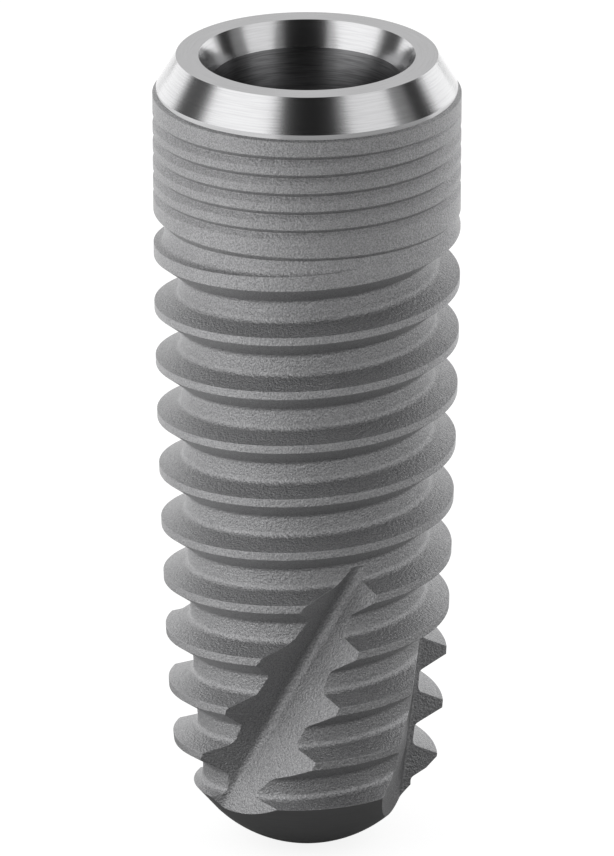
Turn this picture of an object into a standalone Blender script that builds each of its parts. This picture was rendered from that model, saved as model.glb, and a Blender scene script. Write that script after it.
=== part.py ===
"""Endosseous dental implant, one piece of turned titanium.

Metres, +Z up. The origin is the tip of the apex, on the implant's axis, and the platform that
carries the abutment faces up. Angles round the axis are degrees from -Y, counterclockwise
seen from above, so 90 is +X. Depths are measured down from the platform. A share of depth is
a share of the whole length, and a share of radius one of the body's radius.
"""

import math

import bmesh
import bpy
from mathutils import Matrix, Vector

MM = 0.001

# Overall form
LENGTH = 11.6 * MM
BODY_DIAMETER = 4.3 * MM
FACETS = 40
OVERRUN = 0.04 * MM
MERGE_DISTANCE = 0.001 * MM
SHARPEST_SMOOTH_ANGLE = 25.0

# Machined collar: flat platform, outer bevel and a narrow polished land
PLATFORM_WIDTH = 0.315 * MM
BEVEL_WIDTH = 0.275 * MM
BEVEL_DEPTH = 0.46 * MM
LAND_DEPTH = 0.525 * MM
LEDGE_WIDTH = 0.05 * MM
LEDGE_HEIGHT = 0.025 * MM
LAND_RADIUS = BODY_DIAMETER / 2 - LEDGE_WIDTH
PLATFORM_RADIUS = LAND_RADIUS - BEVEL_WIDTH

# Tapered body, as pairs of the depth and the radius lost there, and the rounded apex
TAPER_SHARES = (
    (0.207, 0.005),
    (0.310, 0.010),
    (0.448, 0.026),
    (0.578, 0.049),
    (0.724, 0.079),
    (0.802, 0.100),
    (0.866, 0.128),
    (0.901, 0.151),
)
APEX_RADIUS = 1.83 * MM
APEX_CHAMFER_HEIGHT = 0.58 * MM
APEX_STEPS = 7

# Connection for the abutment: lead-in chamfer, cone, hexagonal index and screw bore
CHAMFER_WIDTH = 0.193 * MM
CHAMFER_DEPTH = 0.344 * MM
MOUTH_RADIUS = PLATFORM_RADIUS - PLATFORM_WIDTH
SEAT_RADIUS = MOUTH_RADIUS - CHAMFER_WIDTH
SEAT_ANGLE = 11.0
SEAT_DEPTH = 1.6 * MM
HEX_SIDES = 6
HEX_ACROSS_FLATS = 1.8 * MM
HEX_DEPTH = 3.0 * MM
SCREW_BORE_DIAMETER = 1.6 * MM
SCREW_BORE_DEPTH = 6.6 * MM
DRILL_POINT_ANGLE = 59.0

# Main thread, cut as one helical groove
LEAD = 0.8 * MM
CREST_WIDTH = 0.115 * MM
UPPER_FLANK_HEIGHT = 0.125 * MM
LOWER_FLANK_HEIGHT = 0.26 * MM
THREAD_DEPTH = 0.325 * MM
APEX_THREAD_DEPTH = 0.37 * MM
ROOT_FILLET = 0.07 * MM
ROOT_FILLET_STEPS = 2
GROOVE_START_ANGLE = 90.0
GROOVE_START_DEPTH = 2.1525 * MM
GROOVE_RUN_IN_TURNS = 1.0

# Micro-thread of the neck: three shallow grooves with the main thread's lead
MICRO_STARTS = 3
MICRO_DEPTH = 0.045 * MM
MICRO_CREST_SHARE = 0.3
MICRO_FLANK_SHARE = 0.24
MICRO_MOUTH_GAP = 0.01 * MM
MICRO_TOP_DEPTH = 0.35 * MM
MICRO_BOTTOM_DEPTH = 2.0 * MM
MICRO_LINE_IN_FRONT = 0.79 * MM
MICRO_RUN_OUT_TURNS = 0.3

# Long flutes, a pair: a wide trailing wall and a cutting wall, meeting in a rounded valley
LONG_FLUTES = 2
FLUTE_TOP_SHARE = 0.581
FLUTE_LEAD_IN = 0.33 * MM
FLUTE_MIDDLE_SHARE = 0.7716
FLUTE_VALLEY_SIDE = -0.23 * MM
FLUTE_VALLEY_FRONT = 1.151 * MM
FLUTE_SIDE_SLOPE = 0.504
FLUTE_FRONT_SLOPE = 0.124
FLUTE_CUTTING_WALL_ANGLE = 42.7
FLUTE_TRAILING_WALL_ANGLES = (-34.0, -48.0, -62.0, -90.0, -108.0)
FLUTE_VALLEY_FILLET = 0.16 * MM
FLUTE_WALL_REACH = 2.6 * MM
FLUTE_SECTIONS = 9
VALLEY_FILLET_STEPS = 3

# Side notches, a pair: short and steep, between the long flutes
NOTCHES = 2
NOTCH_TOP_SHARE = 0.71
NOTCH_LEAD_IN = 0.3 * MM
NOTCH_VALLEY_ANGLE = 94.0
NOTCH_VALLEY_RADIUS = 1.6 * MM
NOTCH_VALLEY_TAPER = 6.5
NOTCH_CUTTING_WALL_ANGLE = 60.0
NOTCH_TRAILING_WALL_ANGLES = (-2.0, -5.0, -12.0, -18.0)
NOTCH_VALLEY_FILLET = 0.05 * MM
NOTCH_SECTIONS = 6


def clear_scene():
    for obj in list(bpy.data.objects):
        bpy.data.objects.remove(obj, do_unlink=True)


def new_collection(name):
    collection = bpy.data.collections.new(name)
    bpy.context.scene.collection.children.link(collection)
    return collection


def titanium():
    material = bpy.data.materials.new("blasted_titanium")
    material.use_nodes = True
    shader = material.node_tree.nodes["Principled BSDF"]
    shader.inputs["Base Color"].default_value = (0.33, 0.33, 0.33, 1.0)
    shader.inputs["Metallic"].default_value = 1.0
    shader.inputs["Roughness"].default_value = 0.5
    return material


def at(radius, angle, depth):
    """The point at this radius, angle round the axis and depth below the platform."""
    turn = math.radians(angle)
    return Vector((radius * math.sin(turn), -radius * math.cos(turn), LENGTH - depth))


def body_radius(depth):
    """Radius of the turned body at this depth, before the apex is rounded."""
    stations = [(LAND_DEPTH / LENGTH, 0.0), *TAPER_SHARES]
    depth_share = depth / LENGTH
    lost = stations[-1][1]
    for (above, less), (below, more) in zip(stations, stations[1:]):
        if depth_share <= below:
            share = max(depth_share - above, 0.0) / (below - above)
            lost = less + (more - less) * share
            break
    return BODY_DIAMETER / 2 * (1 - lost)


def root_radius(depth):
    """Radius at the root of the main thread, which is cut a little deeper towards the apex."""
    share = depth / LENGTH
    return body_radius(depth) - THREAD_DEPTH - (APEX_THREAD_DEPTH - THREAD_DEPTH) * share


def rounded(before, corner, after, radius, steps):
    """Points of the arc that rounds a corner between two straight runs."""
    corner = Vector(corner)
    to_before = (Vector(before) - corner).normalized()
    to_after = (Vector(after) - corner).normalized()
    half = to_before.angle(to_after) / 2
    centre = corner + (to_before + to_after).normalized() * (radius / math.sin(half))
    start = (corner + to_before * (radius / math.tan(half)) - centre).normalized()
    end = (corner + to_after * (radius / math.tan(half)) - centre).normalized()
    return [centre + start.slerp(end, step / steps) * radius for step in range(steps + 1)]


def turned(name, profile, collection):
    """A solid turned about Z from (radius, depth) points that begin and end on the axis."""
    mesh = bpy.data.meshes.new(name)
    points = [(radius, 0.0, LENGTH - depth) for radius, depth in profile]
    edges = [(index, index + 1) for index in range(len(points) - 1)]
    mesh.from_pydata(points, edges, [])
    obj = bpy.data.objects.new(name, mesh)
    collection.objects.link(obj)
    screw = obj.modifiers.new("Turning", "SCREW")
    screw.steps = FACETS
    screw.render_steps = FACETS
    screw.use_merge_vertices = True
    screw.merge_threshold = MERGE_DISTANCE
    screw.use_normal_calculate = True
    return obj


def lofted(name, sections, collection):
    """A closed cutter through sections that all have the same number of points."""
    shape = bmesh.new()
    rings = [[shape.verts.new(point) for point in section] for section in sections]
    count = len(sections[0])
    for ring, following in zip(rings, rings[1:]):
        for index in range(count):
            after = (index + 1) % count
            shape.faces.new((ring[index], ring[after], following[after], following[index]))
    shape.faces.new(rings[0])
    shape.faces.new(rings[-1])
    bmesh.ops.recalc_face_normals(shape, faces=shape.faces)
    mesh = bpy.data.meshes.new(name)
    shape.to_mesh(mesh)
    shape.free()
    obj = bpy.data.objects.new(name, mesh)
    collection.objects.link(obj)
    return obj


def cut(body, cutter):
    """Cut one shape out of the body.

    The grooves are so shallow that the exact solver leaves open edges along their facets.
    """
    cutter.hide_render = True
    cutter.display_type = "WIRE"
    boolean = body.modifiers.new(cutter.name, "BOOLEAN")
    boolean.operation = "DIFFERENCE"
    boolean.solver = "MANIFOLD"
    boolean.object = cutter


def apex_profile():
    """The rounded apex, from its chamfer to its tip."""
    centre = LENGTH - APEX_RADIUS
    top = LENGTH * TAPER_SHARES[-1][0] + APEX_CHAMFER_HEIGHT
    start = math.asin((top - centre) / APEX_RADIUS)
    points = []
    for step in range(APEX_STEPS):
        turn = start + (math.pi / 2 - start) * step / APEX_STEPS
        points.append((APEX_RADIUS * math.cos(turn), centre + APEX_RADIUS * math.sin(turn)))
    return [*points, (0.0, LENGTH)]


def bore_profile():
    """The connection, from the drill point up to the platform."""
    screw_bore = SCREW_BORE_DIAMETER / 2
    drill_point = screw_bore / math.tan(math.radians(DRILL_POINT_ANGLE))
    cone = math.tan(math.radians(SEAT_ANGLE)) * (SEAT_DEPTH - CHAMFER_DEPTH)
    return [
        (0.0, SCREW_BORE_DEPTH + drill_point),
        (screw_bore, SCREW_BORE_DEPTH),
        (screw_bore, SEAT_DEPTH),
        (SEAT_RADIUS - cone, SEAT_DEPTH),
        (SEAT_RADIUS, CHAMFER_DEPTH),
        (MOUTH_RADIUS, 0.0),
    ]


def blank(collection):
    """The turned blank with its bore, before any thread is cut."""
    collar = [
        (PLATFORM_RADIUS, 0.0),
        (LAND_RADIUS, BEVEL_DEPTH),
        (LAND_RADIUS, LAND_DEPTH),
        (BODY_DIAMETER / 2, LAND_DEPTH + LEDGE_HEIGHT),
    ]
    depths = [LENGTH * share for share, _ in TAPER_SHARES]
    body = [(body_radius(depth), depth) for depth in depths]
    return turned("implant", [*bore_profile(), *collar, *body, *apex_profile()], collection)


def hex_index(collection):
    """Hexagonal socket under the cone, for indexing the abutment."""
    corner_radius = HEX_ACROSS_FLATS / 2 / math.cos(math.pi / HEX_SIDES)
    shape = bmesh.new()
    bmesh.ops.create_cone(
        shape,
        cap_ends=True,
        segments=HEX_SIDES,
        radius1=corner_radius,
        radius2=corner_radius,
        depth=HEX_DEPTH - SEAT_DEPTH + OVERRUN,
    )
    mesh = bpy.data.meshes.new("hex_index")
    shape.to_mesh(mesh)
    shape.free()
    obj = bpy.data.objects.new("hex_index", mesh)
    obj.location.z = LENGTH - (HEX_DEPTH + SEAT_DEPTH - OVERRUN) / 2
    collection.objects.link(obj)
    return obj


def groove_section(angle, depth, root, outer, root_width):
    """Section of the main groove: a filleted root between two flanks, opened past the surface."""
    top = depth - root_width / 2
    bottom = depth + root_width / 2
    height = (outer - root) / THREAD_DEPTH
    mouth_above = (outer, top - LOWER_FLANK_HEIGHT * height)
    mouth_below = (outer, bottom + UPPER_FLANK_HEIGHT * height)
    fillet = rounded((root, top), (root, bottom), mouth_below, ROOT_FILLET, ROOT_FILLET_STEPS)
    outline = [mouth_above, (root, top), *fillet, mouth_below]
    return [at(radius, angle, below) for radius, below in outline]


def main_groove(collection):
    """The main thread's groove. It deepens over its first turn and runs out at the apex."""
    root_width = LEAD - CREST_WIDTH - UPPER_FLANK_HEIGHT - LOWER_FLANK_HEIGHT
    steps = round((LENGTH - GROOVE_START_DEPTH) / LEAD * FACETS)
    run_in = GROOVE_RUN_IN_TURNS * FACETS
    sections = []
    for step in range(steps):
        angle = GROOVE_START_ANGLE - 360 * step / FACETS
        depth = GROOVE_START_DEPTH + LEAD * step / FACETS
        shallower = (THREAD_DEPTH + OVERRUN) * max(1 - step / run_in, 0.0)
        root = root_radius(depth) + shallower
        outer = body_radius(depth) + OVERRUN + shallower
        sections.append(groove_section(angle, depth, root, outer, root_width))
    return lofted("main_groove", sections, collection)


def micro_groove(number, collection):
    """One start of the micro-thread, run out at its lower end."""
    spacing = LEAD / MICRO_STARTS
    flank_height = MICRO_FLANK_SHARE * spacing
    root_width = spacing * (1 - MICRO_CREST_SHARE) - 2 * flank_height
    widest = (spacing - root_width) / 2 - MICRO_MOUTH_GAP
    line = MICRO_LINE_IN_FRONT + spacing * number
    first = math.ceil(FACETS * (line - MICRO_TOP_DEPTH) / LEAD)
    last = math.ceil(FACETS * (line - MICRO_BOTTOM_DEPTH) / LEAD)
    run_out = MICRO_RUN_OUT_TURNS * FACETS
    sections = []
    for facet in range(first, last - 1, -1):
        angle = 360 * facet / FACETS
        depth = line - LEAD * facet / FACETS
        shallower = (MICRO_DEPTH + OVERRUN) * max(1 - (facet - last) / run_out, 0.0)
        root = BODY_DIAMETER / 2 - MICRO_DEPTH + shallower
        outer = BODY_DIAMETER / 2 + OVERRUN + shallower
        spread = min(flank_height / MICRO_DEPTH * (outer - root), widest)
        outline = [
            (outer, depth - root_width / 2 - spread),
            (root, depth - root_width / 2),
            (root, depth + root_width / 2),
            (outer, depth + root_width / 2 + spread),
        ]
        sections.append([at(radius, angle, below) for radius, below in outline])
    return lofted(f"micro_groove_{number + 1}", sections, collection)


def direction(angle):
    return Vector((math.sin(math.radians(angle)), -math.cos(math.radians(angle)), 0.0))


def wedge_section(valley, trailing_angle, cutting_angle, fillet, turn):
    """Plan section of a flute: two walls that meet in a rounded valley."""
    cutting = valley + direction(cutting_angle) * FLUTE_WALL_REACH
    trailing = valley + direction(trailing_angle) * FLUTE_WALL_REACH
    curve = rounded(cutting, valley, trailing, fillet, VALLEY_FILLET_STEPS)
    outline = [cutting, *curve, trailing]
    for point in outline:
        point.rotate(Matrix.Rotation(math.radians(turn), 3, "Z"))
    return outline


def spread_over(values, share):
    """Value at a share of the way along a list of evenly spaced values."""
    place = share * (len(values) - 1)
    index = min(int(place), len(values) - 2)
    return values[index] + (values[index + 1] - values[index]) * (place - index)


def fluting_cutter(name, top, valleys, trailing_angles, cutting_angle, fillet, turn, collection):
    """A wedge along a line of valley points, whose trailing wall twists on the way down.

    It comes in through the body's surface at the top depth, outside its first valley point.
    """
    entry = Vector((valleys[0].x, valleys[0].y, 0.0)).normalized()
    entry *= body_radius(top) + OVERRUN
    entry.z = LENGTH - top
    sections = [wedge_section(entry, trailing_angles[0], cutting_angle, fillet, turn)]
    for step, valley in enumerate(valleys):
        trailing_angle = spread_over(trailing_angles, step / (len(valleys) - 1))
        sections.append(wedge_section(valley, trailing_angle, cutting_angle, fillet, turn))
    return lofted(name, sections, collection)


def depths_between(start, end, sections):
    return [start + (end - start) * step / sections for step in range(sections + 1)]


def long_flute(number, collection):
    """A flute whose valley leans across the body."""
    top = LENGTH * FLUTE_TOP_SHARE
    valleys = []
    for depth in depths_between(top + FLUTE_LEAD_IN, LENGTH + OVERRUN, FLUTE_SECTIONS):
        below = depth - LENGTH * FLUTE_MIDDLE_SHARE
        side = FLUTE_VALLEY_SIDE - FLUTE_SIDE_SLOPE * below
        front = FLUTE_VALLEY_FRONT - FLUTE_FRONT_SLOPE * below
        valleys.append(Vector((side, -front, LENGTH - depth)))
    return fluting_cutter(
        f"long_flute_{number + 1}",
        top,
        valleys,
        FLUTE_TRAILING_WALL_ANGLES,
        FLUTE_CUTTING_WALL_ANGLE,
        FLUTE_VALLEY_FILLET,
        360 * number / LONG_FLUTES,
        collection,
    )


def side_notch(number, collection):
    """A steep notch whose valley follows the body's taper."""
    top = LENGTH * NOTCH_TOP_SHARE
    start = top + NOTCH_LEAD_IN
    valleys = []
    for depth in depths_between(start, LENGTH, NOTCH_SECTIONS):
        inward = math.tan(math.radians(NOTCH_VALLEY_TAPER)) * (depth - start)
        valleys.append(at(NOTCH_VALLEY_RADIUS - inward, NOTCH_VALLEY_ANGLE, depth))
    return fluting_cutter(
        f"side_notch_{number + 1}",
        top,
        valleys,
        NOTCH_TRAILING_WALL_ANGLES,
        NOTCH_CUTTING_WALL_ANGLE,
        NOTCH_VALLEY_FILLET,
        360 * number / NOTCHES,
        collection,
    )


def finish(obj):
    """Apply the modifiers, then shade the round faces smooth and keep the edges sharp."""
    graph = bpy.context.evaluated_depsgraph_get()
    mesh = bpy.data.meshes.new_from_object(obj.evaluated_get(graph))
    obj.modifiers.clear()
    obj.data = mesh
    mesh.shade_smooth()
    mesh.set_sharp_from_angle(angle=math.radians(SHARPEST_SMOOTH_ANGLE))


def main():
    clear_scene()
    parts = new_collection("dental_implant")
    cutters = new_collection("cutters")
    implant = blank(parts)
    implant.data.materials.append(titanium())
    cut(implant, main_groove(cutters))
    for number in range(MICRO_STARTS):
        cut(implant, micro_groove(number, cutters))
    for number in range(LONG_FLUTES):
        cut(implant, long_flute(number, cutters))
    for number in range(NOTCHES):
        cut(implant, side_notch(number, cutters))
    cut(implant, hex_index(cutters))
    finish(implant)


main()
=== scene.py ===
"""Looks of a dental implant: blasted titanium body, polished collar and turned connection."""

import math

import bmesh
import bpy
from mathutils import Matrix, Vector


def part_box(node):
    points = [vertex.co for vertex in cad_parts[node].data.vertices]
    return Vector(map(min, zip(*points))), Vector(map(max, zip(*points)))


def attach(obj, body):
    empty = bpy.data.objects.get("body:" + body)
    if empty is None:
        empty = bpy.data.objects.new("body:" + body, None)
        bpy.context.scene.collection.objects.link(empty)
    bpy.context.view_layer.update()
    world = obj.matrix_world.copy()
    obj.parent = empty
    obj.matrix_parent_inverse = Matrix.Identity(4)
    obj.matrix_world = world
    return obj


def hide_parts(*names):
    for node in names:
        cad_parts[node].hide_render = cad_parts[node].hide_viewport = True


bl_info = {
    "name": "Dental implant",
    "version": (1, 0, 0),
    "blender": (4, 5, 0),
    "location": "3D View > Sidebar > Implant",
    "description": "Models and dresses a self-tapping dental implant",
    "category": "Add Mesh",
}

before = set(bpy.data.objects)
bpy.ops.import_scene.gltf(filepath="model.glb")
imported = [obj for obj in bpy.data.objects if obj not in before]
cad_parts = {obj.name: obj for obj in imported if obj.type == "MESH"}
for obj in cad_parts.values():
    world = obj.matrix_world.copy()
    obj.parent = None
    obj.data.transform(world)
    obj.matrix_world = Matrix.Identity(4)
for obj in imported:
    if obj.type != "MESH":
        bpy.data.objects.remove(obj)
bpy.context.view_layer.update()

MM = 0.001
NODE = "implant"
BODY = "root"
LOW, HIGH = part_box(NODE)

# Depth below the platform as a share of the length, and the share of the radius lost there.
TAPER_SHARES = (
    (0.207, 0.005),
    (0.310, 0.010),
    (0.448, 0.026),
    (0.578, 0.049),
    (0.724, 0.079),
    (0.802, 0.100),
    (0.866, 0.128),
    (0.901, 0.151),
)

# Places in the list of materials of the body; the connection's and the apex's materials carry
# painted shade.
BLASTED, POLISHED, SHADED_CONNECTION, SHADED_APEX = range(4)

# Grain: pits to a pebble, height and softness of the pebbles, and the pits' range of heights,
# over which the pits are painted darker as shade.
PITS_TO_PEBBLE = 1.9
PEBBLE_HEIGHT = 0.6
PEBBLE_SOFTNESS = 0.6
PIT_SHADE_RANGE = (0.36, 0.62)

# Turning lines: how often a line breaks off, and their range of tones.
LINE_BREAKS = 3.0
LINE_RANGE = (0.3, 0.6)

# The camera's sensor in millimetres, and where it begins to see, in metres.
SENSOR_HEIGHT = 24.0
CAMERA_NEAR = 0.05

WHITE = (1.0, 1.0, 1.0, 1.0)
CARD_STEPS = 12
TOP_CARD_SIDES = 48
MERGE_DISTANCE = 0.0001 * MM

# Azimuth and elevation in degrees, width and height in metres, power in watts.
LAMPS = {
    "key_lamp": (-62.0, 35.0, (0.26, 0.26), 0.26),
    "fill_lamp": (58.0, 35.0, (0.18, 0.24), 0.17),
}

# From which azimuth to which, in degrees, the cards stand, and which setting they glow by.
FAR_CARDS = {
    "front_card": (-24.0, 28.0, "dark_card"),
    "left_card": (-118.0, -93.0, "dim_card"),
    "right_card": (94.0, 112.0, "dark_card"),
    "grey_card": (28.0, 94.0, "grey_card"),
}
RIM_CARDS = {
    "rim_card_left": (-152.0, -122.0, "rim_card"),
    "rim_card_right": (118.0, 152.0, "rim_card"),
}
TENT_CARDS = {
    "tent_left": (-100.0, -20.0, "tent_left"),
    "tent_front": (-20.0, 30.0, "tent_front"),
    "tent_right": (30.0, 100.0, "tent_right"),
    "tent_back": (100.0, 260.0, "tent_back"),
}
FLOOR_CARDS = {
    "floor_card_left": (-110.0, -25.0, "floor_left"),
    "floor_card_right": (40.0, 110.0, "floor_right"),
}


def length(name, description, default):
    return bpy.props.FloatProperty(
        name=name, description=description, default=default, unit="LENGTH", precision=6
    )


def share(name, description, default):
    return bpy.props.FloatProperty(name=name, description=description, default=default)


def angle(name, description, degrees):
    return bpy.props.FloatProperty(
        name=name, description=description, default=math.radians(degrees), unit="ROTATION"
    )


def count(name, description, default):
    return bpy.props.IntProperty(name=name, description=description, default=default)


def colour(name, description, default):
    return bpy.props.FloatVectorProperty(
        name=name, description=description, default=default, size=4, subtype="COLOR"
    )


class ImplantSizes(bpy.types.PropertyGroup):
    """Sizes of the turned blank and of what is cut into it."""

    length: length("Length", "From the apex to the platform", HIGH.z - LOW.z)
    diameter: length("Body diameter", "Across the crests at the neck", 4.3 * MM)
    facets: count("Facets", "Faces round the axis", 192)
    overrun: length("Overrun", "How far a cutter stands out of the surface", 0.04 * MM)
    platform: length("Platform diameter", "Outside of the flat ring", 3.65 * MM)
    platform_bore: length("Platform bore", "Inside of the flat ring", 3.02 * MM)
    bevel_depth: length("Bevel depth", "Foot of the collar's bevel", 0.46 * MM)
    land_depth: length("Land depth", "Foot of the polished land", 0.525 * MM)
    ledge_width: length("Ledge width", "Step from the land out to the body", 0.05 * MM)
    ledge_height: length("Ledge height", "Height of that step", 0.025 * MM)
    apex_radius: length("Apex radius", "Radius of the domed end", 1.83 * MM)
    apex_chamfer: length("Apex chamfer", "Height of the shoulder above it", 0.58 * MM)
    apex_steps: count("Apex steps", "Rings of the domed end", 24)
    chamfer_depth: length("Chamfer depth", "Foot of the bore's lead-in", 0.344 * MM)
    seat: length("Seat diameter", "Mouth of the conical seat", 2.634 * MM)
    seat_angle: angle("Seat angle", "Half angle of the conical seat", 11.0)
    seat_depth: length("Seat depth", "Foot of the conical seat", 1.6 * MM)
    hex_flats: length("Hexagon", "Across the flats of the index", 1.8 * MM)
    hex_depth: length("Hexagon depth", "Foot of the index", 3.0 * MM)
    screw_bore: length("Screw bore", "Diameter of the bore", 1.6 * MM)
    screw_bore_depth: length("Screw bore depth", "Foot of its wall", 6.6 * MM)
    drill_point: angle("Drill point", "Half angle of the bore's end", 59.0)


class ThreadSizes(bpy.types.PropertyGroup):
    """Sizes of the main thread and the micro-thread."""

    lead: length("Lead", "Rise in one turn", 0.8 * MM)
    crest: length("Crest width", "Flat of the main thread", 0.115 * MM)
    upper_flank: length("Upper flank", "Height of the flank that faces up", 0.125 * MM)
    lower_flank: length("Lower flank", "Height of the flank that faces down", 0.26 * MM)
    depth: length("Thread depth", "Crest to root", 0.325 * MM)
    apex_depth: length("Apex thread depth", "Crest to root at the apex", 0.37 * MM)
    fillet: length("Root fillet", "Radius at the foot of each flank", 0.1 * MM)
    fillet_steps: count("Fillet steps", "Faces of that fillet", 5)
    start_depth: length("Start depth", "Where the main groove begins", 2.135 * MM)
    turns: count("Turns", "Turns of the main groove", 12)
    run_in: share("Run-in", "Turns over which it deepens", 1.0)
    micro_pitch: length("Micro-thread pitch", "Rise in one turn", 0.267 * MM)
    micro_depth: length("Micro-thread depth", "Crest to root", 0.065 * MM)
    micro_root: length("Micro-thread root", "Flat at its foot", 0.012 * MM)
    micro_upper: length(
        "Micro-thread upper flank", "Height of the flank that faces up", 0.085 * MM
    )
    micro_lower: length(
        "Micro-thread lower flank", "Height of the flank that faces down", 0.065 * MM
    )
    micro_gap: length("Micro-thread gap", "Kept between two turns of the cutter", 0.01 * MM)
    micro_line: length("Micro-thread line", "Depth of its first root in front", 0.83 * MM)
    micro_bottom: length("Micro-thread end", "Depth of the lower end", 2.06 * MM)
    micro_turns: count("Micro-thread turns", "Turns of the groove", 5)
    micro_run_out: share("Micro-thread run-out", "Turns over which it fades", 0.4)
    shoulder_depth: length("Shoulder depth", "Where the main groove's top ends", 2.235 * MM)
    relief_depth: length("Relief depth", "Where the ring below the micro-thread lies", 2.3 * MM)
    relief_fade: length("Relief fade", "Height over which that ring fades", 0.2 * MM)


class FluteSizes(bpy.types.PropertyGroup):
    """Sizes of the long flutes and the side notches."""

    flutes: count("Long flutes", "Evenly round the axis", 2)
    top: share("Flute top", "Share of the length", 0.5775)
    lead_in: length("Flute lead-in", "Height over which it sinks in", 0.33 * MM)
    middle: share("Flute middle", "Share of the length where the valley is stated", 0.7716)
    side: length("Valley side", "Place of the valley across the front", -0.23 * MM)
    front: length("Valley front", "Place of the valley in front of the axis", 1.151 * MM)
    side_slope: share("Side slope", "Lean of the valley across the front", 0.504)
    front_slope: share("Front slope", "Lean of the valley towards the axis", 0.124)
    cutting: angle("Cutting wall", "Direction of the cutting wall", 42.7)
    trailing: bpy.props.FloatVectorProperty(
        name="Trailing wall",
        description="Directions of the twisting wall from top to bottom",
        default=[math.radians(value) for value in (-34, -48, -62, -90, -108)],
        size=5,
        unit="ROTATION",
    )
    fillet: length("Valley fillet", "Radius in the valley", 0.16 * MM)
    reach: length("Wall reach", "Length of a wall of the cutter", 2.6 * MM)
    sections: count("Sections", "Steps along a cutter", 36)
    fillet_steps: count("Fillet steps", "Faces of a valley's fillet", 6)
    notches: count("Side notches", "One after another round the axis", 2)
    notch_spacing: angle("Notch spacing", "Turn from one notch to the next", 160.0)
    notch_top: share("Notch top", "Share of the length", 0.71)
    notch_lead_in: length("Notch lead-in", "Height over which it sinks in", 0.3 * MM)
    notch_angle: angle("Notch angle", "Place of its valley round the axis", 94.0)
    notch_radius: length("Notch radius", "Distance of its valley from the axis", 1.6 * MM)
    notch_taper: angle("Notch taper", "Lean of its valley towards the axis", 6.5)
    notch_cutting: angle("Notch cutting wall", "Direction of its cutting wall", 88.0)
    notch_trailing: bpy.props.FloatVectorProperty(
        name="Notch trailing wall",
        description="Directions of its twisting wall from top to bottom",
        default=[math.radians(value) for value in (-2, -5, -12, -18)],
        size=4,
        unit="ROTATION",
    )
    notch_fillet: length("Notch fillet", "Radius in its valley", 0.05 * MM)


class ImplantFinish(bpy.types.PropertyGroup):
    """Colours and grain of the titanium."""

    blasted: colour("Blasted titanium", "Body, threads and flutes", (0.37, 0.37, 0.375, 1.0))
    # The pits' colour is painted shade: the same metal, darkened where the grain lies low.
    pit_shade: colour("Blasted hollows", "Pits of the blasted grain", (0.22, 0.22, 0.225, 1.0))
    polished: colour("Polished titanium", "Collar and platform", (0.4, 0.4, 0.405, 1.0))
    # The connection's colour is painted shade: the titanium darkened deep in the bore.
    turned: colour("Turned titanium", "Wall of the connection", (0.13, 0.13, 0.133, 1.0))
    grain: length("Grain size", "Width of a blasted pit", 0.04 * MM)
    relief: length("Grain relief", "Depth of a blasted pit", 0.012 * MM)
    # The apex colour is painted shade: darker metal for the down-facing faces under the dome.
    apex: colour("Apex", "Metal of the smooth apex", (0.24, 0.24, 0.243, 1.0))
    apex_shade_height: length("Apex height", "How far up the smooth apex goes", 0.95 * MM)
    apex_shade_slope: share("Apex slope", "Upward part of its faces' normals, at most", -0.45)
    blasted_rough: share("Blasted roughness", "Of the body, threads and flutes", 0.5)
    polished_rough: share("Polished roughness", "Of the collar and platform", 0.2)
    turned_rough: share("Turned roughness", "Of the connection", 0.3)
    apex_rough: share("Apex roughness", "Of the smooth apex", 0.45)
    crease: angle("Crease", "Faces that meet at more than this stay sharp", 22.0)
    streak: share("Streak", "How much darker a turning line is", 0.08)
    deep_streak: share("Bore streak", "The same inside the bore", 0.4)
    lines: length("Line spacing", "Between two turning lines", 0.02 * MM)
    line_relief: length("Line relief", "Depth of a turning line", 0.0007 * MM)
    rounding: length("Edge rounding", "Radius that blasting leaves on an edge", 0.016 * MM)
    rounding_samples: count("Edge samples", "Rays that find an edge", 4)


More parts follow.
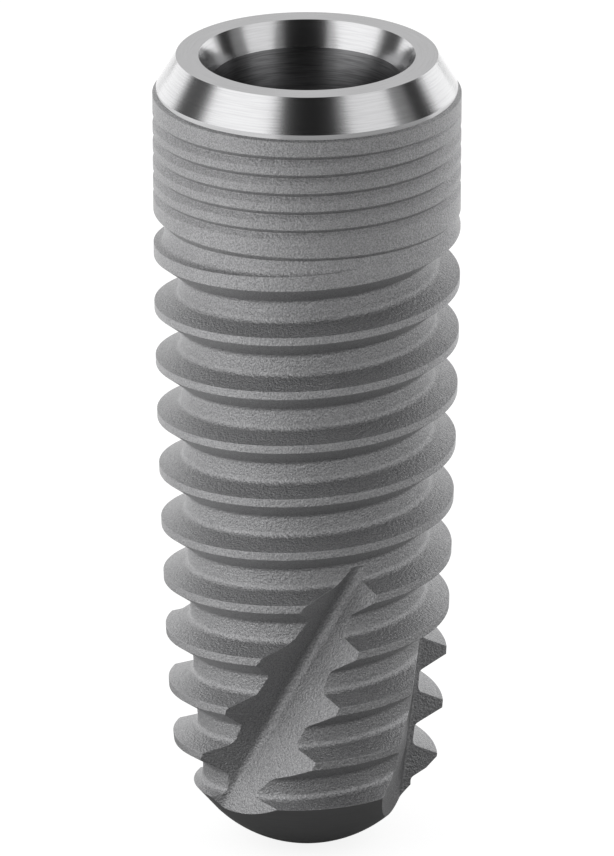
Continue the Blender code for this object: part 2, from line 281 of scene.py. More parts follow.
class StudioSettings(bpy.types.PropertyGroup):
    """Camera, floor and the cards that the metal mirrors."""

    elevation: angle("Camera elevation", "Above the level of the object", 20.0)
    distance: length("Camera distance", "From the object", 0.3)
    aim: length("Aim height", "Height that the camera looks at", 6.085 * MM)
    view_height: length("View height", "Height of the picture at the object", 11.955 * MM)
    floor: length("Floor size", "Side of the square floor", 2.0)
    floor_colour: colour("Floor", "Floor and backdrop", (0.3, 0.3, 0.3, 1.0))
    floor_rough: share("Floor roughness", "Of the floor", 0.9)
    floor_lift: colour("Floor lift", "Added for camera rays", (0.86, 0.86, 0.86, 1.0))
    surround: share("Surround", "Strength of the white surround as a light", 0.5)
    card_reach: share("Card reach", "Distance of the far cards, in camera distances", 1.5)
    card_foot: length("Card foot", "Height at which the far cards begin", 1.0 * MM)
    card_height: share("Card height", "Top of the far cards, in card distances", 2.0)
    rim_height: share("Rim card height", "Top of the rim cards, in card distances", 0.5)
    card_colour: colour("Dark cards", "Cards round the object", (0.015, 0.015, 0.015, 1.0))
    dark_card: share("Dark card", "Glow of the cards that give black bands", 0.0)
    dim_card: share("Dim card", "Glow of the card on the left", 0.1)
    grey_card: share("Grey card", "Glow of the card on the right", 0.4)
    top_card: share("Top card", "Glow of the card overhead", 0.2)
    rim_card: share("Rim cards", "Glow of the cards behind the collar", 2.0)
    tent: length("Tent", "Distance of the low cards round the body", 12.0 * MM)
    tent_height: length("Tent height", "Top of the low cards", 11.0 * MM)
    tent_foot: length("Tent foot", "Height of their foot and of the flat cards", 0.01 * MM)
    tent_left: share("Tent left", "Glow of its left side", 1.5)
    tent_front: share("Tent front", "Glow of its front", 0.7)
    tent_right: share("Tent right", "Glow of its right side", 0.7)
    tent_back: share("Tent back", "Glow of its back", 1.4)
    floor_gap: length("Flat card gap", "Inner radius of the flat cards", 3.5 * MM)
    floor_left: share("Flat card left", "Glow of the flat card on the left", 0.8)
    floor_right: share("Flat card right", "Glow of the flat card on the right", 0.35)


def deselect_all():
    if bpy.context.mode != "OBJECT":
        bpy.ops.object.mode_set(mode="OBJECT")
    bpy.ops.object.select_all(action="DESELECT")


def make_active(obj):
    deselect_all()
    obj.select_set(True)
    bpy.context.view_layer.objects.active = obj


def body_radius(sizes, depth):
    """Radius of the turned body at a depth below the platform."""
    stations = [(sizes.land_depth / sizes.length, 0.0), *TAPER_SHARES]
    place = depth / sizes.length
    lost = stations[-1][1]
    for (above, less), (below, more) in zip(stations, stations[1:]):
        if place <= below:
            lost = less + (more - less) * max(place - above, 0.0) / (below - above)
            break
    return sizes.diameter / 2 * (1 - lost)


def thread_depth(sizes, thread, depth):
    """Depth of the main thread, which grows towards the apex."""
    return thread.depth + (thread.apex_depth - thread.depth) * depth / sizes.length


def rounded(before, corner, after, radius, steps):
    """Points of the arc that rounds a corner between two straight runs."""
    corner = Vector(corner)
    to_before = (Vector(before) - corner).normalized()
    to_after = (Vector(after) - corner).normalized()
    half = to_before.angle(to_after) / 2
    centre = corner + (to_before + to_after).normalized() * (radius / math.sin(half))
    start = (corner + to_before * (radius / math.tan(half)) - centre).normalized()
    end = (corner + to_after * (radius / math.tan(half)) - centre).normalized()
    return [centre + start.slerp(end, step / steps) * radius for step in range(steps + 1)]


def traced(name, points, closed=False):
    """A chain of edges in the XZ plane, traced by extruding one vertex from point to point."""
    deselect_all()
    bpy.ops.mesh.primitive_plane_add(size=MM, location=(0.0, 0.0, 0.0))
    obj = bpy.context.object
    obj.name = name
    obj.data.name = name
    bpy.ops.object.mode_set(mode="EDIT")
    bpy.ops.mesh.select_all(action="SELECT")
    bpy.ops.mesh.merge(type="CENTER")
    bpy.ops.transform.translate(value=(points[0][0], 0.0, points[0][1]))
    for before, after in zip(points, points[1:]):
        step = (after[0] - before[0], 0.0, after[1] - before[1])
        bpy.ops.mesh.extrude_region_move(TRANSFORM_OT_translate={"value": step})
    if closed:
        bpy.ops.mesh.select_all(action="SELECT")
        bpy.ops.mesh.edge_face_add()
        bpy.ops.mesh.delete(type="ONLY_FACE")
    bpy.ops.object.mode_set(mode="OBJECT")
    return obj


def apply_modifier(obj, modifier):
    make_active(obj)
    bpy.ops.object.modifier_apply(modifier=modifier.name)


def close_and_face_out(obj):
    """Fill the open ends, merge what lies together and turn every face outwards."""
    make_active(obj)
    bpy.ops.object.mode_set(mode="EDIT")
    bpy.ops.mesh.select_all(action="SELECT")
    bpy.ops.mesh.remove_doubles(threshold=MERGE_DISTANCE)
    bpy.ops.mesh.fill_holes(sides=0)
    bpy.ops.mesh.select_all(action="SELECT")
    bpy.ops.mesh.normals_make_consistent(inside=False)
    bpy.ops.object.mode_set(mode="OBJECT")


def helical_cutter(name, outline, turns, lead, sizes, start, reshape):
    """A closed cutter swept up a right-handed helix, then fitted to the body by reshape."""
    cutter = traced(name, outline, closed=True)
    points = len(outline)
    screw = cutter.modifiers.new("Helix", "SCREW")
    screw.steps = sizes.facets
    screw.render_steps = sizes.facets
    screw.iterations = turns
    screw.screw_offset = lead
    screw.use_merge_vertices = False
    apply_modifier(cutter, screw)
    for vertex in cutter.data.vertices:
        turn = vertex.index // points / sizes.facets
        radius = math.hypot(vertex.co.x, vertex.co.y)
        new_radius = reshape(radius, sizes.length - vertex.co.z, turn)
        vertex.co.x *= new_radius / radius
        vertex.co.y *= new_radius / radius
    cutter.data.transform(Matrix.Rotation(start, 4, "Z"))
    close_and_face_out(cutter)
    return cutter


def lofted_cutter(name, sections):
    """A closed cutter through plan sections that all have the same number of points."""
    shape = bmesh.new()
    rings = [[shape.verts.new(point) for point in section] for section in sections]
    points = len(sections[0])
    for ring, following in zip(rings, rings[1:]):
        for index in range(points):
            after = (index + 1) % points
            shape.faces.new((ring[index], ring[after], following[after], following[index]))
    shape.faces.new(rings[0])
    shape.faces.new(rings[-1])
    bmesh.ops.recalc_face_normals(shape, faces=shape.faces)
    mesh = bpy.data.meshes.new(name)
    shape.to_mesh(mesh)
    shape.free()
    cutter = bpy.data.objects.new(name, mesh)
    bpy.context.scene.collection.objects.link(cutter)
    return cutter


def cut(body, cutter):
    """Cut one shape out of the body and throw the shape away."""
    boolean = body.modifiers.new(cutter.name, "BOOLEAN")
    boolean.operation = "DIFFERENCE"
    boolean.solver = "MANIFOLD"
    boolean.object = cutter
    before = len(body.data.polygons)
    apply_modifier(body, boolean)
    if len(body.data.polygons) == before:
        raise RuntimeError(f"{cutter.name} cut nothing")
    bpy.data.objects.remove(cutter, do_unlink=True)


def direction(turn):
    """Level unit vector at an azimuth, which is 0 towards the camera and grows to the right."""
    return Vector((math.sin(turn), -math.cos(turn), 0.0))


def spread_over(values, place):
    """Value at a share of the way along a list of evenly spaced values."""
    place *= len(values) - 1
    index = min(int(place), len(values) - 2)
    return values[index] + (values[index + 1] - values[index]) * (place - index)


def fluting_cutter(name, top, valleys, trailing, cutting, fillet, turn):
    """A wedge along a line of valley points, whose trailing wall twists on the way down."""
    sizes = bpy.context.scene.implant_sizes
    flutes = bpy.context.scene.implant_flutes
    entry = Vector((valleys[0].x, valleys[0].y, 0.0)).normalized()
    entry *= body_radius(sizes, top) + sizes.overrun
    entry.z = sizes.length - top
    stations = [(entry, trailing[0])]
    for step, valley in enumerate(valleys):
        stations.append((valley, spread_over(trailing, step / (len(valleys) - 1))))
    sections = []
    for valley, trailing_turn in stations:
        first = valley + direction(cutting) * flutes.reach
        last = valley + direction(trailing_turn) * flutes.reach
        curve = rounded(first, valley, last, fillet, flutes.fillet_steps)
        section = [first, *curve, last]
        for point in section:
            point.rotate(Matrix.Rotation(turn, 3, "Z"))
        sections.append(section)
    return lofted_cutter(name, sections)


class IMPLANT_OT_turn_blank(bpy.types.Operator):
    """Turn the blank with its collar, bore and domed apex"""

    bl_idname = "implant.turn_blank"
    bl_label = "Turn the blank"

    def execute(self, context):
        sizes = context.scene.implant_sizes
        bore = sizes.screw_bore / 2
        cone = math.tan(sizes.seat_angle) * (sizes.seat_depth - sizes.chamfer_depth)
        land = sizes.diameter / 2 - sizes.ledge_width
        profile = [
            (0.0, sizes.screw_bore_depth + bore / math.tan(sizes.drill_point)),
            (bore, sizes.screw_bore_depth),
            (bore, sizes.seat_depth),
            (sizes.seat / 2 - cone, sizes.seat_depth),
            (sizes.seat / 2, sizes.chamfer_depth),
            (sizes.platform_bore / 2, 0.0),
            (sizes.platform / 2, 0.0),
            (land, sizes.bevel_depth),
            (land, sizes.land_depth),
            (sizes.diameter / 2, sizes.land_depth + sizes.ledge_height),
        ]
        for place, _ in TAPER_SHARES:
            profile.append((body_radius(sizes, place * sizes.length), place * sizes.length))
        centre = sizes.length - sizes.apex_radius
        top = profile[-1][1] + sizes.apex_chamfer
        start = math.asin((top - centre) / sizes.apex_radius)
        for step in range(sizes.apex_steps):
            turn = start + (math.pi / 2 - start) * step / sizes.apex_steps
            radius = sizes.apex_radius * math.cos(turn)
            profile.append((radius, centre + sizes.apex_radius * math.sin(turn)))
        profile.append((0.0, sizes.length))
        blank = traced("implant_body", [(r, sizes.length - depth) for r, depth in profile])
        make_active(blank)
        bpy.ops.object.mode_set(mode="EDIT")
        bpy.ops.mesh.select_all(action="SELECT")
        bpy.ops.mesh.spin(
            steps=sizes.facets,
            angle=2 * math.pi,
            center=(0.0, 0.0, 0.0),
            axis=(0.0, 0.0, 1.0),
        )
        close_and_face_out(blank)
        return {"FINISHED"}


class IMPLANT_OT_cut_threads(bpy.types.Operator):
    """Cut the main thread and the micro-thread of the neck"""

    bl_idname = "implant.cut_threads"
    bl_label = "Cut the threads"

    def execute(self, context):
        sizes = context.scene.implant_sizes
        thread = context.scene.implant_thread
        body = bpy.data.objects["implant_body"]
        cut(body, self.main_groove(sizes, thread))
        cut(body, self.micro_groove(sizes, thread))
        cut(body, self.relief_ring(sizes, thread))
        return {"FINISHED"}

    def main_groove(self, sizes, thread):
        """The groove follows the taper, runs in at its top and ends at a round shoulder."""
        outer = sizes.diameter / 2 + sizes.overrun
        root = sizes.diameter / 2 - thread.depth
        height = (outer - root) / thread.depth
        width = thread.lead - thread.crest - thread.upper_flank - thread.lower_flank
        foot = sizes.length - thread.start_depth - thread.turns * thread.lead
        upper = (root, foot + width / 2)
        lower = (root, foot - width / 2)
        above = (outer, upper[1] + thread.lower_flank * height)
        below = (outer, lower[1] - thread.upper_flank * height)
        top_fillet = rounded(above, upper, lower, thread.fillet, thread.fillet_steps)
        low_fillet = rounded(upper, lower, below, thread.fillet, thread.fillet_steps)
        outline = [above, *map(tuple, top_fillet), *map(tuple, low_fillet), below]

        def reshape(radius, depth, turn):
            shallower = max(1 - (thread.turns - turn) / thread.run_in, 0.0)
            share_down = (sizes.diameter / 2 - radius) / thread.depth
            new_radius = body_radius(sizes, depth)
            new_radius -= share_down * thread_depth(sizes, thread, depth)
            return new_radius + shallower * (thread.depth + sizes.overrun)

        groove = helical_cutter(
            "main_groove", outline, thread.turns, thread.lead, sizes, 0.0, reshape
        )
        tip = sizes.length - thread.shoulder_depth - sizes.diameter / 2
        deselect_all()
        bpy.ops.mesh.primitive_cone_add(
            vertices=sizes.facets,
            radius1=0.0,
            radius2=sizes.length,
            depth=sizes.length,
            location=(0.0, 0.0, tip + sizes.length / 2),
        )
        cut(groove, bpy.context.object)
        return groove

    def micro_groove(self, sizes, thread):
        """A shallow groove with a steep and a long flank, faded out at both ends."""
        root = sizes.diameter / 2 - thread.micro_depth
        outer = sizes.diameter / 2 + sizes.overrun
        height = (outer - root) / thread.micro_depth
        foot = sizes.length - thread.micro_bottom
        top = foot + thread.micro_root / 2
        bottom = foot - thread.micro_root / 2
        above = top + thread.micro_lower * height
        lowest = above - thread.micro_pitch + thread.micro_gap
        below = max(bottom - thread.micro_upper * height, lowest)
        outline = [(outer, above), (root, top), (root, bottom), (outer, below)]
        turned = 2 * math.pi * (thread.micro_line - thread.micro_bottom) / thread.micro_pitch

        def reshape(radius, depth, turn):
            to_end = min(turn, thread.micro_turns - turn)
            shallower = max(1 - to_end / thread.micro_run_out, 0.0)
            return radius + shallower * (thread.micro_depth + sizes.overrun)

        return helical_cutter(
            "micro_groove",
            outline,
            thread.micro_turns,
            thread.micro_pitch,
            sizes,
            turned - math.pi / 2,
            reshape,
        )

    def relief_ring(self, sizes, thread):
        """The ring below the micro-thread, which fades into the body."""
        outer = sizes.diameter / 2 + sizes.overrun
        root = sizes.diameter / 2 - thread.micro_depth
        height = (outer - root) / thread.micro_depth
        middle = sizes.length - thread.relief_depth
        outline = [
            (outer, middle + thread.micro_lower * height),
            (root, middle),
            (root, middle - thread.micro_root),
            (outer, middle - thread.micro_root - thread.relief_fade * height),
        ]
        ring = traced("relief_ring", outline, closed=True)
        make_active(ring)
        bpy.ops.object.mode_set(mode="EDIT")
        bpy.ops.mesh.select_all(action="SELECT")
        bpy.ops.mesh.spin(
            steps=sizes.facets,
            angle=2 * math.pi,
            center=(0.0, 0.0, 0.0),
            axis=(0.0, 0.0, 1.0),
        )
        close_and_face_out(ring)
        return ring


class IMPLANT_OT_cut_flutes(bpy.types.Operator):
    """Cut the long flutes, the side notches and the hexagonal index"""

    bl_idname = "implant.cut_flutes"
    bl_label = "Cut the flutes and the hexagon"

    def execute(self, context):
        sizes = context.scene.implant_sizes
        flutes = context.scene.implant_flutes
        body = bpy.data.objects["implant_body"]
        for number in range(flutes.flutes):
            cut(body, self.long_flute(sizes, flutes, number))
        for number in range(flutes.notches):
            cut(body, self.side_notch(sizes, flutes, number))
        cut(body, self.hexagon(sizes))
        return {"FINISHED"}

    def long_flute(self, sizes, flutes, number):
        """A flute whose valley slants across the front and sinks towards the apex."""
        top = sizes.length * flutes.top
        start = top + flutes.lead_in
        valleys = []
        for step in range(flutes.sections + 1):
            run = sizes.length + sizes.overrun - start
            depth = start + run * step / flutes.sections
            below = depth - sizes.length * flutes.middle
            side = flutes.side - flutes.side_slope * below
            front = flutes.front - flutes.front_slope * below
            valleys.append(Vector((side, -front, sizes.length - depth)))
        return fluting_cutter(
            f"long_flute_{number + 1}",
            top,
            valleys,
            flutes.trailing,
            flutes.cutting,
            flutes.fillet,
            2 * math.pi * number / flutes.flutes,
        )

    def side_notch(self, sizes, flutes, number):
        """A shorter cut near the apex, upright but for the lean of its valley."""
        top = sizes.length * flutes.notch_top
        start = top + flutes.notch_lead_in
        valleys = []
        for step in range(flutes.sections + 1):
            depth = start + (sizes.length - start) * step / flutes.sections
            radius = flutes.notch_radius - math.tan(flutes.notch_taper) * (depth - start)
            valley = direction(flutes.notch_angle) * radius
            valley.z = sizes.length - depth
            valleys.append(valley)
        return fluting_cutter(
            f"side_notch_{number + 1}",
            top,
            valleys,
            flutes.notch_trailing,
            flutes.notch_cutting,
            flutes.notch_fillet,
            flutes.notch_spacing * number,
        )

    def hexagon(self, sizes):
        """The six-sided index below the conical seat."""
        top = sizes.seat_depth - sizes.overrun
        deselect_all()
        bpy.ops.mesh.primitive_cylinder_add(
            vertices=6,
            radius=sizes.hex_flats / 2 / math.cos(math.pi / 6),
            depth=sizes.hex_depth - top,
            location=(0.0, 0.0, sizes.length - (sizes.hex_depth + top) / 2),
        )
        cutter = bpy.context.object
        cutter.name = "hexagon"
        return cutter


def socket(tree, name, kind, inputs=True, default=None):
    """Add an input or an output to a node group."""
    made = tree.interface.new_socket(
        name=name, in_out="INPUT" if inputs else "OUTPUT", socket_type=kind
    )
    if default is not None:
        made.default_value = default
    return made


def node(tree, kind, place, **settings):
    """A new node at a place in its tree, with its settings."""
    made = tree.nodes.new(kind)
    made.location = place
    for name, value in settings.items():
        setattr(made, name, value)
    return made


def math_node(tree, operation, place, first, second=None, third=None):
    """Output of a new math node, whose operands are numbers or other outputs."""
    made = node(tree, "ShaderNodeMath", place, operation=operation)
    for index, value in enumerate((first, second, third)):
        if value is None:
            continue
        if isinstance(value, (int, float)):
            made.inputs[index].default_value = value
        else:
            tree.links.new(value, made.inputs[index])
    return made.outputs[0]


def blasted_grain_group():
    """Pebbled grain of a blasted surface: its height, and a mask of its pits for painting shade
    into them.
    """
    tree = bpy.data.node_groups.new("Blasted grain", "ShaderNodeTree")
    socket(tree, "Grain size", "NodeSocketFloat", default=0.04 * MM)
    socket(tree, "Height", "NodeSocketFloat", inputs=False)
    socket(tree, "Pits", "NodeSocketFloat", inputs=False)
    entry = node(tree, "NodeGroupInput", (-900, 0))
    result = node(tree, "NodeGroupOutput", (700, 0))
    place = node(tree, "ShaderNodeTexCoord", (-900, 300))
    scale = math_node(tree, "DIVIDE", (-700, 0), 1.0, entry.outputs["Grain size"])
    finer = math_node(tree, "MULTIPLY", (-500, -200), scale, PITS_TO_PEBBLE)
    pebbles = node(tree, "ShaderNodeTexVoronoi", (-300, 200), feature="SMOOTH_F1")
    pebbles.inputs["Smoothness"].default_value = PEBBLE_SOFTNESS
    pits = node(tree, "ShaderNodeTexNoise", (-300, -200))
    pits.inputs["Detail"].default_value = 3.0
    pits.inputs["Roughness"].default_value = 0.6
    tree.links.new(place.outputs["Object"], pebbles.inputs["Vector"])
    tree.links.new(place.outputs["Object"], pits.inputs["Vector"])
    tree.links.new(scale, pebbles.inputs["Scale"])
    tree.links.new(finer, pits.inputs["Scale"])
    low = math_node(tree, "MULTIPLY", (0, 200), pebbles.outputs["Distance"], -PEBBLE_HEIGHT)
    height = math_node(tree, "ADD", (200, 0), low, pits.outputs["Fac"])
    ramp = node(tree, "ShaderNodeMapRange", (200, -300))
    tree.links.new(pits.outputs["Fac"], ramp.inputs["Value"])
    ramp.inputs["From Min"].default_value = PIT_SHADE_RANGE[0]
    ramp.inputs["From Max"].default_value = PIT_SHADE_RANGE[1]
    tree.links.new(height, result.inputs["Height"])
    tree.links.new(ramp.outputs["Result"], result.inputs["Pits"])


def turning_lines_group():
    """Fine circular lines that a lathe leaves on cones and flats: their height and tone."""
    tree = bpy.data.node_groups.new("Turning lines", "ShaderNodeTree")
    socket(tree, "Spacing", "NodeSocketFloat", default=0.02 * MM)
    socket(tree, "Height", "NodeSocketFloat", inputs=False)
    socket(tree, "Tone", "NodeSocketFloat", inputs=False)
    entry = node(tree, "NodeGroupInput", (-1100, 0))
    result = node(tree, "NodeGroupOutput", (700, 0))
    place = node(tree, "ShaderNodeTexCoord", (-1100, 300))
    axes = node(tree, "ShaderNodeSeparateXYZ", (-900, 300))
    tree.links.new(place.outputs["Object"], axes.inputs[0])
    across = math_node(tree, "MULTIPLY", (-700, 400), axes.outputs["X"], axes.outputs["X"])
    square = math_node(
        tree, "MULTIPLY_ADD", (-500, 400), axes.outputs["Y"], axes.outputs["Y"], across
    )
    radius = math_node(tree, "SQRT", (-300, 400), square)
    out = math_node(tree, "DIVIDE", (-100, 400), radius, entry.outputs["Spacing"])
    up = math_node(tree, "DIVIDE", (-100, 200), axes.outputs["Z"], entry.outputs["Spacing"])
    turn = math_node(tree, "ARCTAN2", (-300, 0), axes.outputs["Y"], axes.outputs["X"])
    broken = math_node(tree, "MULTIPLY", (-100, 0), turn, LINE_BREAKS)
    point = node(tree, "ShaderNodeCombineXYZ", (50, 200))
    tree.links.new(out, point.inputs["X"])
    tree.links.new(up, point.inputs["Y"])
    tree.links.new(broken, point.inputs["Z"])
    noise = node(tree, "ShaderNodeTexNoise", (250, 200))
    noise.inputs["Scale"].default_value = 1.0
    noise.inputs["Detail"].default_value = 2.0
    tree.links.new(point.outputs["Vector"], noise.inputs["Vector"])
    tree.links.new(noise.outputs["Fac"], result.inputs["Height"])
    tree.links.new(noise.outputs["Fac"], result.inputs["Tone"])


def new_metal(name):
    """A new material whose shader is a metal."""
    material = bpy.data.materials.new(name)
    material.use_nodes = True
    tree = material.node_tree
    shader = tree.nodes["Principled BSDF"]
    shader.inputs["Metallic"].default_value = 1.0
    return material, tree, shader


def blasted_titanium(finish):
    """Metal with a pebbled grain, painted darker in its pits as shade, and with softened edges.
    """
    material, tree, shader = new_metal("blasted_titanium")
    grain = node(tree, "ShaderNodeGroup", (-900, 0))
    grain.node_tree = bpy.data.node_groups["Blasted grain"]
    grain.inputs["Grain size"].default_value = finish.grain
    # Painted shade: the low parts of the grain get the darker pit colour.
    tint = node(tree, "ShaderNodeMix", (-500, 200), data_type="RGBA")
    tint.inputs["A"].default_value = finish.pit_shade
    tint.inputs["B"].default_value = finish.blasted
    tree.links.new(grain.outputs["Pits"], tint.inputs["Factor"])
    tree.links.new(tint.outputs["Result"], shader.inputs["Base Color"])
    edge = node(tree, "ShaderNodeBevel", (-700, -300), samples=finish.rounding_samples)
    edge.inputs["Radius"].default_value = finish.rounding
    bump = node(tree, "ShaderNodeBump", (-400, -200))
    bump.inputs["Strength"].default_value = 1.0
    bump.inputs["Distance"].default_value = finish.relief
    tree.links.new(grain.outputs["Height"], bump.inputs["Height"])
    tree.links.new(edge.outputs["Normal"], bump.inputs["Normal"])
    tree.links.new(bump.outputs["Normal"], shader.inputs["Normal"])
    shader.inputs["Roughness"].default_value = finish.blasted_rough
    return material


def turned_titanium(name, tint, streak, roughness):
    """Metal with the fine circular lines of a lathe, which shift its tone by the streak."""
    finish = bpy.context.scene.implant_finish
    material, tree, shader = new_metal(name)
    lines = node(tree, "ShaderNodeGroup", (-900, 0))
    lines.node_tree = bpy.data.node_groups["Turning lines"]
    lines.inputs["Spacing"].default_value = finish.lines
    darker = tuple((1 - streak) * part for part in tint[:3]) + (1.0,)
    tone = node(tree, "ShaderNodeMapRange", (-700, 200))
    tone.inputs["From Min"].default_value = LINE_RANGE[0]
    tone.inputs["From Max"].default_value = LINE_RANGE[1]
    tree.links.new(lines.outputs["Tone"], tone.inputs["Value"])
    blend = node(tree, "ShaderNodeMix", (-400, 200), data_type="RGBA")
    blend.inputs["A"].default_value = darker
    blend.inputs["B"].default_value = tint
    tree.links.new(tone.outputs["Result"], blend.inputs["Factor"])
    tree.links.new(blend.outputs["Result"], shader.inputs["Base Color"])
    bump = node(tree, "ShaderNodeBump", (-400, -200))
    bump.inputs["Distance"].default_value = finish.line_relief
    tree.links.new(lines.outputs["Height"], bump.inputs["Height"])
    tree.links.new(bump.outputs["Normal"], shader.inputs["Normal"])
    shader.inputs["Roughness"].default_value = roughness
    return material


class IMPLANT_OT_finish_surface(bpy.types.Operator):
    """Give each zone of the implant its titanium finish, with painted shade in the bore and
    under the apex, and put it in the frame
    """

    bl_idname = "implant.finish_surface"
    bl_label = "Finish the surface"

    def execute(self, context):
        sizes = context.scene.implant_sizes
        finish = context.scene.implant_finish
        body = bpy.data.objects["implant_body"]
        blasted_grain_group()
        turning_lines_group()
        body.data.materials.clear()
        turned = (
            ("polished_collar", finish.polished, finish.streak, finish.polished_rough),
            # The connection's dark tone is painted shade in the bore; its lines are turning
            # marks.
            ("shaded_connection", finish.turned, finish.deep_streak, finish.turned_rough),
            # The apex's darker tone is painted shade on its down-facing faces.
            ("shaded_apex", finish.apex, finish.streak, finish.apex_rough),
        )
        body.data.materials.append(blasted_titanium(finish))
        for settings in turned:
            body.data.materials.append(turned_titanium(*settings))
        bore_end = sizes.screw_bore_depth + sizes.screw_bore / 2
        for face in body.data.polygons:
            radius = math.hypot(face.center.x, face.center.y)
            depth = sizes.length - face.center.z
            inside = radius < sizes.platform_bore / 2 and depth < bore_end
            # Faces inside the bore get the darkened metal, as painted shade.
            if inside and depth > sizes.chamfer_depth:
                face.material_index = SHADED_CONNECTION
            elif depth < sizes.land_depth:
                face.material_index = POLISHED
            # Low faces that face downwards get darker metal, as painted shade.
            elif face.center.z < finish.apex_shade_height and face.normal.z < finish.apex_shade_slope:
                face.material_index = SHADED_APEX
            else:
                face.material_index = BLASTED
        make_active(body)
        bpy.ops.object.shade_smooth_by_angle(angle=finish.crease)
        weighted = body.modifiers.new("Weighted normals", "WEIGHTED_NORMAL")
        weighted.keep_sharp = True
        apply_modifier(body, weighted)
        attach(body, BODY)
        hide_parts(NODE)
        return {"FINISHED"}


def area_lamp(name, azimuth, elevation, size, power):
    """A soft rectangular lamp that faces the object."""
    studio = bpy.context.scene.implant_studio
    aim = Vector((0.0, 0.0, studio.aim))
    place = direction(math.radians(azimuth)) * math.cos(math.radians(elevation))
    place.z = math.sin(math.radians(elevation))
    place = aim + place * studio.distance
    bpy.ops.object.light_add(type="AREA", location=place)
    lamp = bpy.context.object
    lamp.name = name
    lamp.rotation_euler = (aim - place).to_track_quat("-Z", "Y").to_euler()
    lamp.data.shape = "RECTANGLE"
    lamp.data.size = size[0]
    lamp.data.size_y = size[1]
    lamp.data.energy = power


def card_material(name, glow):
    """A dark card, or one that glows evenly."""
    studio = bpy.context.scene.implant_studio
    material = bpy.data.materials.new(name)
    material.use_nodes = True
    shader = material.node_tree.nodes["Principled BSDF"]
    shader.inputs["Base Color"].default_value = studio.card_colour
    shader.inputs["Roughness"].default_value = 1.0
    shader.inputs["Emission Color"].default_value = WHITE
    shader.inputs["Emission Strength"].default_value = glow
    return material


def hide_card(obj):
    """A card is seen only in the metal."""
    obj.visible_camera = False
    obj.visible_shadow = False
    obj.visible_diffuse = False


def card(name, azimuths, heights, distances, glow):
    """A curved card between two azimuths, from one height and distance to the other."""
    verts = []
    for height, distance in zip(heights, distances):
        for step in range(CARD_STEPS + 1):
            azimuth = spread_over(azimuths, step / CARD_STEPS)
            place = direction(math.radians(azimuth)) * distance
            verts.append((place.x, place.y, height))
    above = CARD_STEPS + 1
    faces = [(i, i + 1, i + 1 + above, i + above) for i in range(CARD_STEPS)]
    mesh = bpy.data.meshes.new(name)
    mesh.from_pydata(verts, [], faces)
    mesh.materials.append(card_material(name, glow))
    obj = bpy.data.objects.new(name, mesh)
    bpy.context.scene.collection.objects.link(obj)
    hide_card(obj)


def card_row(cards, heights, distances):
    """The cards of one table, all between the same heights and distances."""
    studio = bpy.context.scene.implant_studio
    for name, (first, last, setting) in cards.items():
        card(name, (first, last), heights, distances, getattr(studio, setting))


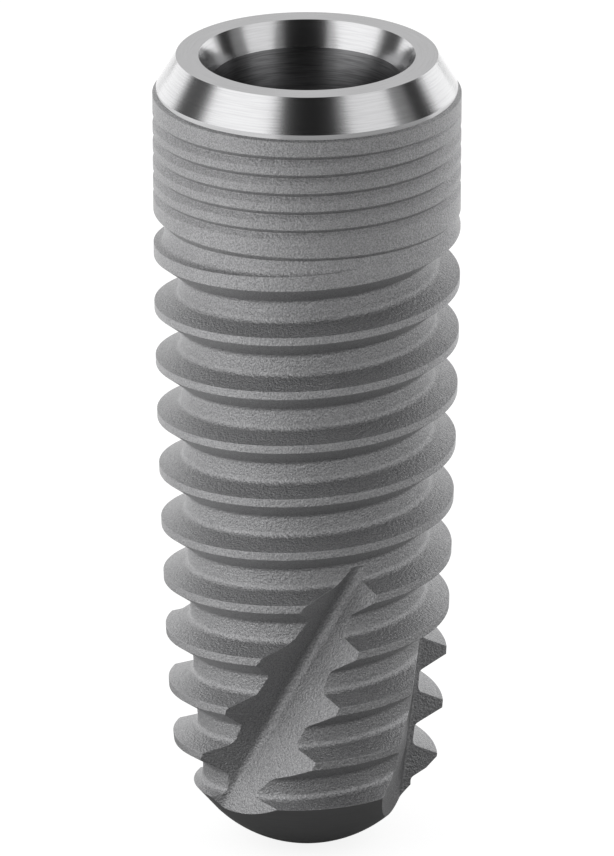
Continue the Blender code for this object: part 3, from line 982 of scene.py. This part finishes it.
class IMPLANT_OT_set_studio(bpy.types.Operator):
    """Set the floor, the lamps, the cards and the camera"""

    bl_idname = "implant.set_studio"
    bl_label = "Set the studio"

    def execute(self, context):
        studio = context.scene.implant_studio
        self.set_floor(studio)
        self.set_world(context.scene, studio)
        self.set_cards(studio)
        for name, settings in LAMPS.items():
            area_lamp(name, *settings)
        self.set_camera(context.scene, studio)
        context.scene.view_settings.view_transform = "Standard"
        return {"FINISHED"}

    def set_floor(self, studio):
        """A pale floor, lifted towards white for camera rays only, so that its shadow stays."""
        deselect_all()
        bpy.ops.mesh.primitive_grid_add(size=studio.floor, location=(0.0, 0.0, 0.0))
        floor = bpy.context.object
        floor.name = "floor"
        material = bpy.data.materials.new("pale_floor")
        material.use_nodes = True
        tree = material.node_tree
        shader = tree.nodes["Principled BSDF"]
        shader.inputs["Base Color"].default_value = studio.floor_colour
        shader.inputs["Roughness"].default_value = studio.floor_rough
        shader.inputs["Specular IOR Level"].default_value = 0.0
        path = node(tree, "ShaderNodeLightPath", (-600, 200))
        tree.links.new(path.outputs["Is Camera Ray"], shader.inputs["Emission Strength"])
        shader.inputs["Emission Color"].default_value = studio.floor_lift
        floor.data.materials.append(material)

    def set_world(self, scene, studio):
        """White as seen and as mirrored, and dimmer as a light."""
        world = bpy.data.worlds.new("pale_surround")
        world.use_nodes = True
        scene.world = world
        tree = world.node_tree
        background = tree.nodes["Background"]
        background.inputs["Color"].default_value = WHITE
        path = node(tree, "ShaderNodeLightPath", (-600, 200))
        rays = [path.outputs[f"Is {kind} Ray"] for kind in ("Camera", "Glossy", "Transmission")]
        seen = math_node(tree, "MAXIMUM", (-400, 200), rays[0], rays[1])
        seen = math_node(tree, "MAXIMUM", (-200, 200), seen, rays[2])
        strength = node(tree, "ShaderNodeMapRange", (0, 200))
        tree.links.new(seen, strength.inputs["Value"])
        strength.inputs["To Min"].default_value = studio.surround
        strength.inputs["To Max"].default_value = 1.0
        tree.links.new(strength.outputs["Result"], background.inputs["Strength"])

    def set_cards(self, studio):
        """Far cards give the collar its bands, and a low tent lights the threads."""
        reach = studio.distance * studio.card_reach
        far = (reach, reach)
        card_row(FAR_CARDS, (studio.card_foot, reach * studio.card_height), far)
        card_row(RIM_CARDS, (studio.card_foot, reach * studio.rim_height), far)
        card_row(TENT_CARDS, (studio.tent_foot, studio.tent_height), (studio.tent, studio.tent))
        flat = (studio.tent_foot, studio.tent_foot)
        card_row(FLOOR_CARDS, flat, (studio.floor_gap, studio.tent))
        deselect_all()
        bpy.ops.mesh.primitive_circle_add(
            vertices=TOP_CARD_SIDES,
            radius=reach,
            fill_type="NGON",
            location=(0.0, 0.0, reach * studio.card_height),
        )
        top = bpy.context.object
        top.name = "top_card"
        top.data.materials.append(card_material("top_card", studio.top_card))
        hide_card(top)

    def set_camera(self, scene, studio):
        """A long lens in front and a little above, aimed near the middle of the object."""
        aim = Vector((0.0, 0.0, studio.aim))
        out = Vector((0.0, -math.cos(studio.elevation), math.sin(studio.elevation)))
        bpy.ops.object.camera_add(location=aim + out * studio.distance)
        camera = bpy.context.object
        camera.name = "camera"
        camera.rotation_euler = (-out).to_track_quat("-Z", "Y").to_euler()
        camera.data.sensor_fit = "VERTICAL"
        camera.data.sensor_height = SENSOR_HEIGHT
        camera.data.lens = SENSOR_HEIGHT * studio.distance / studio.view_height
        camera.data.clip_start = CAMERA_NEAR
        camera.data.dof.use_dof = False
        scene.camera = camera


OPERATORS = (
    IMPLANT_OT_turn_blank,
    IMPLANT_OT_cut_threads,
    IMPLANT_OT_cut_flutes,
    IMPLANT_OT_finish_surface,
    IMPLANT_OT_set_studio,
)
SETTINGS = {
    "implant_sizes": ImplantSizes,
    "implant_thread": ThreadSizes,
    "implant_flutes": FluteSizes,
    "implant_finish": ImplantFinish,
    "implant_studio": StudioSettings,
}


class IMPLANT_PT_panel(bpy.types.Panel):
    """Lists the settings and the steps of the implant"""

    bl_idname = "IMPLANT_PT_panel"
    bl_label = "Dental implant"
    bl_space_type = "VIEW_3D"
    bl_region_type = "UI"
    bl_category = "Implant"

    def draw(self, context):
        for name, group in SETTINGS.items():
            settings = getattr(context.scene, name)
            box = self.layout.box()
            for field in group.__annotations__:
                box.prop(settings, field)
        for operator in OPERATORS:
            self.layout.operator(operator.bl_idname)


def register():
    for name, group in SETTINGS.items():
        bpy.utils.register_class(group)
        setattr(bpy.types.Scene, name, bpy.props.PointerProperty(type=group))
    for cls in (*OPERATORS, IMPLANT_PT_panel):
        bpy.utils.register_class(cls)


def unregister():
    for cls in (IMPLANT_PT_panel, *reversed(OPERATORS)):
        bpy.utils.unregister_class(cls)
    for name, group in reversed(SETTINGS.items()):
        delattr(bpy.types.Scene, name)
        bpy.utils.unregister_class(group)


def main():
    register()
    bpy.ops.implant.turn_blank()
    bpy.ops.implant.cut_threads()
    bpy.ops.implant.cut_flutes()
    bpy.ops.implant.finish_surface()
    bpy.ops.implant.set_studio()


if __name__ == "__main__":
    main()
